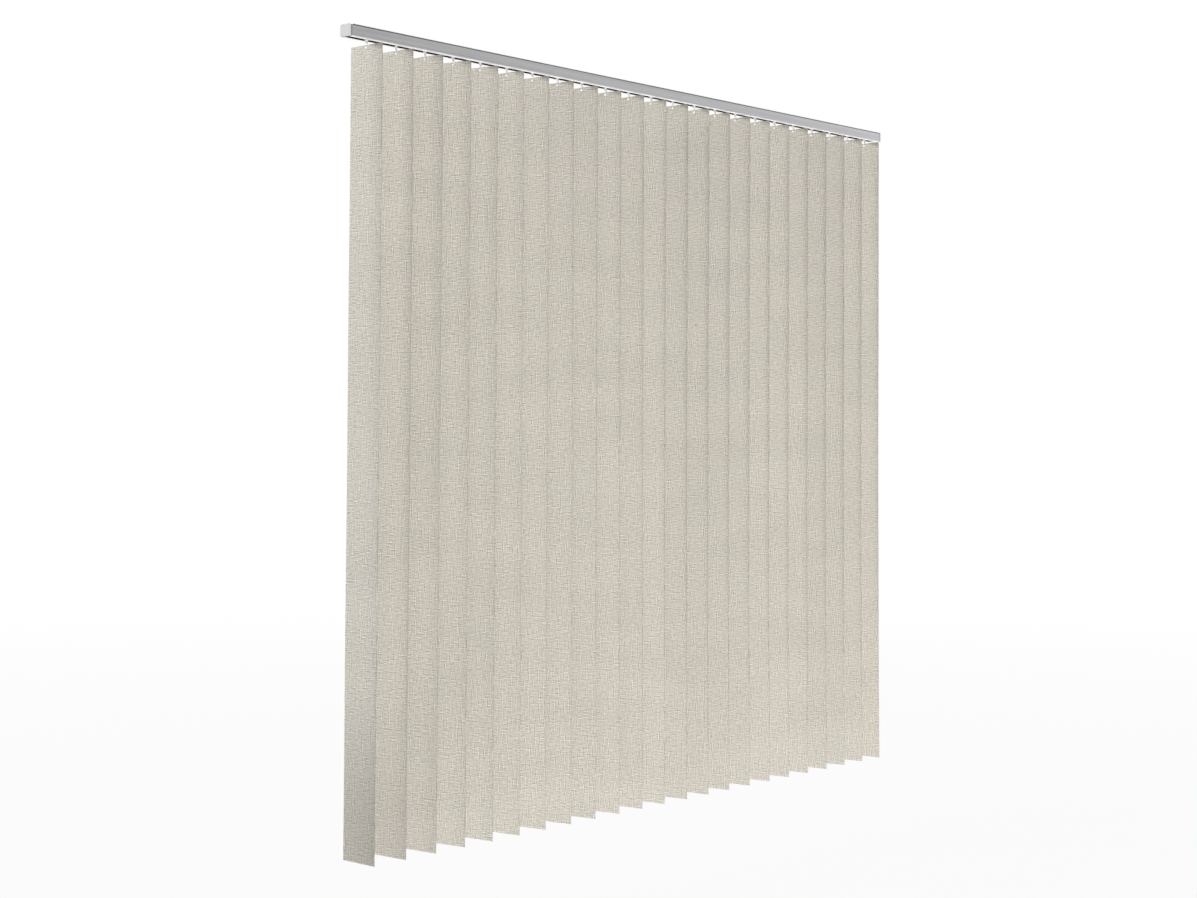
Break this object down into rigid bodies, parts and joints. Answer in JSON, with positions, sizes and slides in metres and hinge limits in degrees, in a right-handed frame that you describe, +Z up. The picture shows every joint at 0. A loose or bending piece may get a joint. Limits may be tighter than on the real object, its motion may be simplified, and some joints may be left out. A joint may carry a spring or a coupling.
{
  "type": "vertical blind",
  "caption": "Vertical blind: upright linen-look cloth slats on hangers and wheeled carriers in a slotted aluminium headrail; they tilt together and draw to one side.",
  "frame": {"origin": "centre of the headrail's top face, where it meets the ceiling", "axes": "+X along the headrail to the right as seen from the room, -Y towards the room, +Z up"},
  "size_m": [2.64, 0.127, 2.2],
  "materials": {
    "anodised_rail": "satin anodised",
    "cap_plastic": "satin",
    "white_plastic": "satin",
    "rod_metal": "mill",
    "carrier_plastic": "matt",
    "slat_cloth": "stiffened linen weave"
  },
  "bodies": {
    "headrail": {"headrail": "anodised_rail", "left_end_cap": "cap_plastic", "right_end_cap": "cap_plastic", "control_housing": "white_plastic", "carrier_23": "carrier_plastic"},
    "tilt_rod": {"tilt_rod": "rod_metal", "rod_gear": "white_plastic"},
    "chain_wheel": {"chain_wheel": "white_plastic"},
    "carrier_01": {"carrier_01": "carrier_plastic"},
    "carrier_02": {"carrier_02": "carrier_plastic"},
    "carrier_03": {"carrier_03": "carrier_plastic"},
    "carrier_04": {"carrier_04": "carrier_plastic"},
    "carrier_05": {"carrier_05": "carrier_plastic"},
    "carrier_06": {"carrier_06": "carrier_plastic"},
    "carrier_07": {"carrier_07": "carrier_plastic"},
    "carrier_08": {"carrier_08": "carrier_plastic"},
    "carrier_09": {"carrier_09": "carrier_plastic"},
    "carrier_10": {"carrier_10": "carrier_plastic"},
    "carrier_11": {"carrier_11": "carrier_plastic"},
    "carrier_12": {"carrier_12": "carrier_plastic"},
    "carrier_13": {"carrier_13": "carrier_plastic"},
    "carrier_14": {"carrier_14": "carrier_plastic"},
    "carrier_15": {"carrier_15": "carrier_plastic"},
    "carrier_16": {"carrier_16": "carrier_plastic"},
    "carrier_17": {"carrier_17": "carrier_plastic"},
    "carrier_18": {"carrier_18": "carrier_plastic"},
    "carrier_19": {"carrier_19": "carrier_plastic"},
    "carrier_20": {"carrier_20": "carrier_plastic"},
    "carrier_21": {"carrier_21": "carrier_plastic"},
    "carrier_22": {"carrier_22": "carrier_plastic"},
    "slat_01": {"slat_01": "slat_cloth"},
    "slat_02": {"slat_02": "slat_cloth"},
    "slat_03": {"slat_03": "slat_cloth"},
    "slat_04": {"slat_04": "slat_cloth"},
    "slat_05": {"slat_05": "slat_cloth"},
    "slat_06": {"slat_06": "slat_cloth"},
    "slat_07": {"slat_07": "slat_cloth"},
    "slat_08": {"slat_08": "slat_cloth"},
    "slat_09": {"slat_09": "slat_cloth"},
    "slat_10": {"slat_10": "slat_cloth"},
    "slat_11": {"slat_11": "slat_cloth"},
    "slat_12": {"slat_12": "slat_cloth"},
    "slat_13": {"slat_13": "slat_cloth"},
    "slat_14": {"slat_14": "slat_cloth"},
    "slat_15": {"slat_15": "slat_cloth"},
    "slat_16": {"slat_16": "slat_cloth"},
    "slat_17": {"slat_17": "slat_cloth"},
    "slat_18": {"slat_18": "slat_cloth"},
    "slat_19": {"slat_19": "slat_cloth"},
    "slat_20": {"slat_20": "slat_cloth"},
    "slat_21": {"slat_21": "slat_cloth"},
    "slat_22": {"slat_22": "slat_cloth"},
    "slat_23": {"slat_23": "slat_cloth"}
  },
  "joints": [
    {"name": "draw", "type": "slide", "parent": "headrail", "child": "carrier_01", "axis": [1, 0, 0], "range_m": [0, 1.914]},
    {"name": "draw_02", "type": "slide", "parent": "headrail", "child": "carrier_02", "axis": [1, 0, 0], "range_m": [0, 1.827]},
    {"name": "draw_03", "type": "slide", "parent": "headrail", "child": "carrier_03", "axis": [1, 0, 0], "range_m": [0, 1.74]},
    {"name": "draw_04", "type": "slide", "parent": "headrail", "child": "carrier_04", "axis": [1, 0, 0], "range_m": [0, 1.653]},
    {"name": "draw_05", "type": "slide", "parent": "headrail", "child": "carrier_05", "axis": [1, 0, 0], "range_m": [0, 1.566]},
    {"name": "draw_06", "type": "slide", "parent": "headrail", "child": "carrier_06", "axis": [1, 0, 0], "range_m": [0, 1.479]},
    {"name": "draw_07", "type": "slide", "parent": "headrail", "child": "carrier_07", "axis": [1, 0, 0], "range_m": [0, 1.392]},
    {"name": "draw_08", "type": "slide", "parent": "headrail", "child": "carrier_08", "axis": [1, 0, 0], "range_m": [0, 1.305]},
    {"name": "draw_09", "type": "slide", "parent": "headrail", "child": "carrier_09", "axis": [1, 0, 0], "range_m": [0, 1.218]},
    {"name": "draw_10", "type": "slide", "parent": "headrail", "child": "carrier_10", "axis": [1, 0, 0], "range_m": [0, 1.131]},
    {"name": "draw_11", "type": "slide", "parent": "headrail", "child": "carrier_11", "axis": [1, 0, 0], "range_m": [0, 1.044]},
    {"name": "draw_12", "type": "slide", "parent": "headrail", "child": "carrier_12", "axis": [1, 0, 0], "range_m": [0, 0.957]},
    {"name": "draw_13", "type": "slide", "parent": "headrail", "child": "carrier_13", "axis": [1, 0, 0], "range_m": [0, 0.87]},
    {"name": "draw_14", "type": "slide", "parent": "headrail", "child": "carrier_14", "axis": [1, 0, 0], "range_m": [0, 0.783]},
    {"name": "draw_15", "type": "slide", "parent": "headrail", "child": "carrier_15", "axis": [1, 0, 0], "range_m": [0, 0.696]},
    {"name": "draw_16", "type": "slide", "parent": "headrail", "child": "carrier_16", "axis": [1, 0, 0], "range_m": [0, 0.609]},
    {"name": "draw_17", "type": "slide", "parent": "headrail", "child": "carrier_17", "axis": [1, 0, 0], "range_m": [0, 0.522]},
    {"name": "draw_18", "type": "slide", "parent": "headrail", "child": "carrier_18", "axis": [1, 0, 0], "range_m": [0, 0.435]},
    {"name": "draw_19", "type": "slide", "parent": "headrail", "child": "carrier_19", "axis": [1, 0, 0], "range_m": [0, 0.348]},
    {"name": "draw_20", "type": "slide", "parent": "headrail", "child": "carrier_20", "axis": [1, 0, 0], "range_m": [0, 0.261]},
    {"name": "draw_21", "type": "slide", "parent": "headrail", "child": "carrier_21", "axis": [1, 0, 0], "range_m": [0, 0.174]},
    {"name": "draw_22", "type": "slide", "parent": "headrail", "child": "carrier_22", "axis": [1, 0, 0], "range_m": [0, 0.087]},
    {"name": "tilt", "type": "hinge", "parent": "carrier_01", "child": "slat_01", "pos_m": [-1.243, 0, -0.02], "axis": [0, 0, 1], "range_deg": [-75, 75]},
    {"name": "tilt_02", "type": "hinge", "parent": "carrier_02", "child": "slat_02", "pos_m": [-1.13, 0, -0.02], "axis": [0, 0, 1], "range_deg": [-75, 75]},
    {"name": "tilt_03", "type": "hinge", "parent": "carrier_03", "child": "slat_03", "pos_m": [-1.017, 0, -0.02], "axis": [0, 0, 1], "range_deg": [-75, 75]},
    {"name": "tilt_04", "type": "hinge", "parent": "carrier_04", "child": "slat_04", "pos_m": [-0.904, 0, -0.02], "axis": [0, 0, 1], "range_deg": [-75, 75]},
    {"name": "tilt_05", "type": "hinge", "parent": "carrier_05", "child": "slat_05", "pos_m": [-0.791, 0, -0.02], "axis": [0, 0, 1], "range_deg": [-75, 75]},
    {"name": "tilt_06", "type": "hinge", "parent": "carrier_06", "child": "slat_06", "pos_m": [-0.678, 0, -0.02], "axis": [0, 0, 1], "range_deg": [-75, 75]},
    {"name": "tilt_07", "type": "hinge", "parent": "carrier_07", "child": "slat_07", "pos_m": [-0.565, 0, -0.02], "axis": [0, 0, 1], "range_deg": [-75, 75]},
    {"name": "tilt_08", "type": "hinge", "parent": "carrier_08", "child": "slat_08", "pos_m": [-0.452, 0, -0.02], "axis": [0, 0, 1], "range_deg": [-75, 75]},
    {"name": "tilt_09", "type": "hinge", "parent": "carrier_09", "child": "slat_09", "pos_m": [-0.339, 0, -0.02], "axis": [0, 0, 1], "range_deg": [-75, 75]},
    {"name": "tilt_10", "type": "hinge", "parent": "carrier_10", "child": "slat_10", "pos_m": [-0.226, 0, -0.02], "axis": [0, 0, 1], "range_deg": [-75, 75]},
    {"name": "tilt_11", "type": "hinge", "parent": "carrier_11", "child": "slat_11", "pos_m": [-0.113, 0, -0.02], "axis": [0, 0, 1], "range_deg": [-75, 75]},
    {"name": "tilt_12", "type": "hinge", "parent": "carrier_12", "child": "slat_12", "pos_m": [0, 0, -0.02], "axis": [0, 0, 1], "range_deg": [-75, 75]},
    {"name": "tilt_13", "type": "hinge", "parent": "carrier_13", "child": "slat_13", "pos_m": [0.113, 0, -0.02], "axis": [0, 0, 1], "range_deg": [-75, 75]},
    {"name": "tilt_14", "type": "hinge", "parent": "carrier_14", "child": "slat_14", "pos_m": [0.226, 0, -0.02], "axis": [0, 0, 1], "range_deg": [-75, 75]},
    {"name": "tilt_15", "type": "hinge", "parent": "carrier_15", "child": "slat_15", "pos_m": [0.339, 0, -0.02], "axis": [0, 0, 1], "range_deg": [-75, 75]},
    {"name": "tilt_16", "type": "hinge", "parent": "carrier_16", "child": "slat_16", "pos_m": [0.452, 0, -0.02], "axis": [0, 0, 1], "range_deg": [-75, 75]},
    {"name": "tilt_17", "type": "hinge", "parent": "carrier_17", "child": "slat_17", "pos_m": [0.565, 0, -0.02], "axis": [0, 0, 1], "range_deg": [-75, 75]},
    {"name": "tilt_18", "type": "hinge", "parent": "carrier_18", "child": "slat_18", "pos_m": [0.678, 0, -0.02], "axis": [0, 0, 1], "range_deg": [-75, 75]},
    {"name": "tilt_19", "type": "hinge", "parent": "carrier_19", "child": "slat_19", "pos_m": [0.791, 0, -0.02], "axis": [0, 0, 1], "range_deg": [-75, 75]},
    {"name": "tilt_20", "type": "hinge", "parent": "carrier_20", "child": "slat_20", "pos_m": [0.904, 0, -0.02], "axis": [0, 0, 1], "range_deg": [-75, 75]},
    {"name": "tilt_21", "type": "hinge", "parent": "carrier_21", "child": "slat_21", "pos_m": [1.017, 0, -0.02], "axis": [0, 0, 1], "range_deg": [-75, 75]},
    {"name": "tilt_22", "type": "hinge", "parent": "carrier_22", "child": "slat_22", "pos_m": [1.13, 0, -0.02], "axis": [0, 0, 1], "range_deg": [-75, 75]},
    {"name": "tilt_23", "type": "hinge", "parent": "headrail", "child": "slat_23", "pos_m": [1.243, 0, -0.02], "axis": [0, 0, 1], "range_deg": [-75, 75]},
    {"name": "rod_turn", "type": "hinge", "parent": "headrail", "child": "tilt_rod", "pos_m": [0, 0.0109, -0.01345], "axis": [1, 0, 0], "range_deg": [-1050, 1050]},
    {"name": "chain_turn", "type": "hinge", "parent": "headrail", "child": "chain_wheel", "pos_m": [0, 0, -0.01345], "axis": [1, 0, 0], "range_deg": [-1050, 1050]}
  ],
  "couplings": [
    {"joint": "draw_02", "follows": "draw", "ratio": 0.95455},
    {"joint": "draw_03", "follows": "draw", "ratio": 0.90909},
    {"joint": "draw_04", "follows": "draw", "ratio": 0.86364},
    {"joint": "draw_05", "follows": "draw", "ratio": 0.81818},
    {"joint": "draw_06", "follows": "draw", "ratio": 0.77273},
    {"joint": "draw_07", "follows": "draw", "ratio": 0.72727},
    {"joint": "draw_08", "follows": "draw", "ratio": 0.68182},
    {"joint": "draw_09", "follows": "draw", "ratio": 0.63636},
    {"joint": "draw_10", "follows": "draw", "ratio": 0.59091},
    {"joint": "draw_11", "follows": "draw", "ratio": 0.54545},
    {"joint": "draw_12", "follows": "draw", "ratio": 0.5},
    {"joint": "draw_13", "follows": "draw", "ratio": 0.45455},
    {"joint": "draw_14", "follows": "draw", "ratio": 0.40909},
    {"joint": "draw_15", "follows": "draw", "ratio": 0.36364},
    {"joint": "draw_16", "follows": "draw", "ratio": 0.31818},
    {"joint": "draw_17", "follows": "draw", "ratio": 0.27273},
    {"joint": "draw_18", "follows": "draw", "ratio": 0.22727},
    {"joint": "draw_19", "follows": "draw", "ratio": 0.18182},
    {"joint": "draw_20", "follows": "draw", "ratio": 0.13636},
    {"joint": "draw_21", "follows": "draw", "ratio": 0.090909},
    {"joint": "draw_22", "follows": "draw", "ratio": 0.045455},
    {"joint": "tilt_02", "follows": "tilt", "ratio": 1},
    {"joint": "tilt_03", "follows": "tilt", "ratio": 1},
    {"joint": "tilt_04", "follows": "tilt", "ratio": 1},
    {"joint": "tilt_05", "follows": "tilt", "ratio": 1},
    {"joint": "tilt_06", "follows": "tilt", "ratio": 1},
    {"joint": "tilt_07", "follows": "tilt", "ratio": 1},
    {"joint": "tilt_08", "follows": "tilt", "ratio": 1},
    {"joint": "tilt_09", "follows": "tilt", "ratio": 1},
    {"joint": "tilt_10", "follows": "tilt", "ratio": 1},
    {"joint": "tilt_11", "follows": "tilt", "ratio": 1},
    {"joint": "tilt_12", "follows": "tilt", "ratio": 1},
    {"joint": "tilt_13", "follows": "tilt", "ratio": 1},
    {"joint": "tilt_14", "follows": "tilt", "ratio": 1},
    {"joint": "tilt_15", "follows": "tilt", "ratio": 1},
    {"joint": "tilt_16", "follows": "tilt", "ratio": 1},
    {"joint": "tilt_17", "follows": "tilt", "ratio": 1},
    {"joint": "tilt_18", "follows": "tilt", "ratio": 1},
    {"joint": "tilt_19", "follows": "tilt", "ratio": 1},
    {"joint": "tilt_20", "follows": "tilt", "ratio": 1},
    {"joint": "tilt_21", "follows": "tilt", "ratio": 1},
    {"joint": "tilt_22", "follows": "tilt", "ratio": 1},
    {"joint": "tilt_23", "follows": "tilt", "ratio": 1},
    {"joint": "rod_turn", "follows": "tilt", "ratio": 14},
    {"joint": "chain_turn", "follows": "tilt", "ratio": -14}
  ]
}
